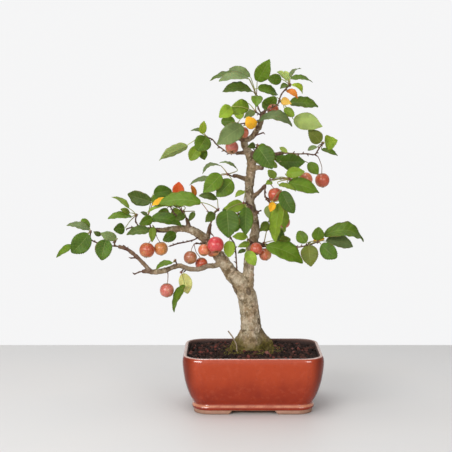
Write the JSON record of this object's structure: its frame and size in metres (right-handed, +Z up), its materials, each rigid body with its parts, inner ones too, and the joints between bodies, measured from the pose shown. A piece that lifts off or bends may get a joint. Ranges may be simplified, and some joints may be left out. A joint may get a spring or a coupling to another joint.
{
  "type": "crabapple bonsai in a glazed pot",
  "caption": "Small fruiting bonsai tree with a forked trunk, toothed leaves and hanging apples, standing in a rectangular glazed pot of granular soil on low corner feet.",
  "frame": {"origin": "middle of the whole outline seen from above, at the level the feet stand on", "axes": "+Z up, +X to the right and -Y towards the viewer when the pot's long side and the lower left branch's leaves face the viewer"},
  "size_m": [0.419, 0.18, 0.4783],
  "materials": {
    "pot_glaze": "gloss",
    "soil": "rough, granular",
    "screen_plastic": "matt",
    "bark": "rough bark",
    "dry_wood": "rough",
    "leaf_green": "satin",
    "leaf_yellow": "satin",
    "leaf_orange": "satin",
    "apple_red": "gloss",
    "apple_amber": "gloss"
  },
  "bodies": {
    "root": {"drain_screen_left": "screen_plastic", "drain_screen_right": "screen_plastic", "dry_twig": "dry_wood", "fruit_amber_pair": "apple_amber", "fruit_bright_red": "apple_red", "fruit_brown_pair": "apple_amber", "fruit_centre_pair": "apple_red", "fruit_hanging_pink": "apple_red", "fruit_left_pair": "apple_red", "fruit_orange_right": "apple_amber", "fruit_orange_upper": "apple_amber", "fruit_pink_upper": "apple_red", "fruit_red_crown": "apple_red", "fruit_red_hidden": "apple_red", "fruit_red_mid": "apple_red", "fruit_red_right": "apple_red", "leaf_orange_curled": "leaf_orange", "leaf_orange_upright": "leaf_orange", "leaf_red_orange": "leaf_orange", "leaf_yellow_crown": "leaf_yellow", "leaf_yellow_curled": "leaf_yellow", "leaf_yellow_hang": "leaf_yellow", "leaf_yellow_left": "leaf_yellow", "leaf_yellow_low": "leaf_yellow", "leaf_yellow_right": "leaf_yellow", "leaves_apex_left": "leaf_green", "leaves_apex_right": "leaf_green", "leaves_back_centre": "leaf_green", "leaves_back_crown": "leaf_green", "leaves_back_left": "leaf_green", "leaves_back_right": "leaf_green", "leaves_back_upper": "leaf_green", "leaves_crown_left": "leaf_green", "leaves_crown_right": "leaf_green", "leaves_dark_shoot": "leaf_green", "leaves_far_left": "leaf_green", "leaves_far_left_inner": "leaf_green", "leaves_front_centre": "leaf_green", "leaves_front_upper": "leaf_green", "leaves_hang_spur": "leaf_green", "leaves_leader_knot": "leaf_green", "leaves_left_bud": "leaf_green", "leaves_left_mid": "leaf_green", "leaves_left_top": "leaf_green", "leaves_left_under": "leaf_green", "leaves_left_upper": "leaf_green", "leaves_low_leaf": "leaf_green", "leaves_low_spur": "leaf_green", "leaves_pink_bud": "leaf_green", "leaves_right_hang": "leaf_green", "leaves_right_inner": "leaf_green", "leaves_right_lower": "leaf_green", "leaves_right_mid": "leaf_green", "leaves_right_upper": "leaf_green", "leaves_side_stub": "leaf_green", "leaves_upper_mid": "leaf_green", "pot": "pot_glaze", "soil": "soil", "trunk_and_branches": "bark"}
  },
  "joints": []
}
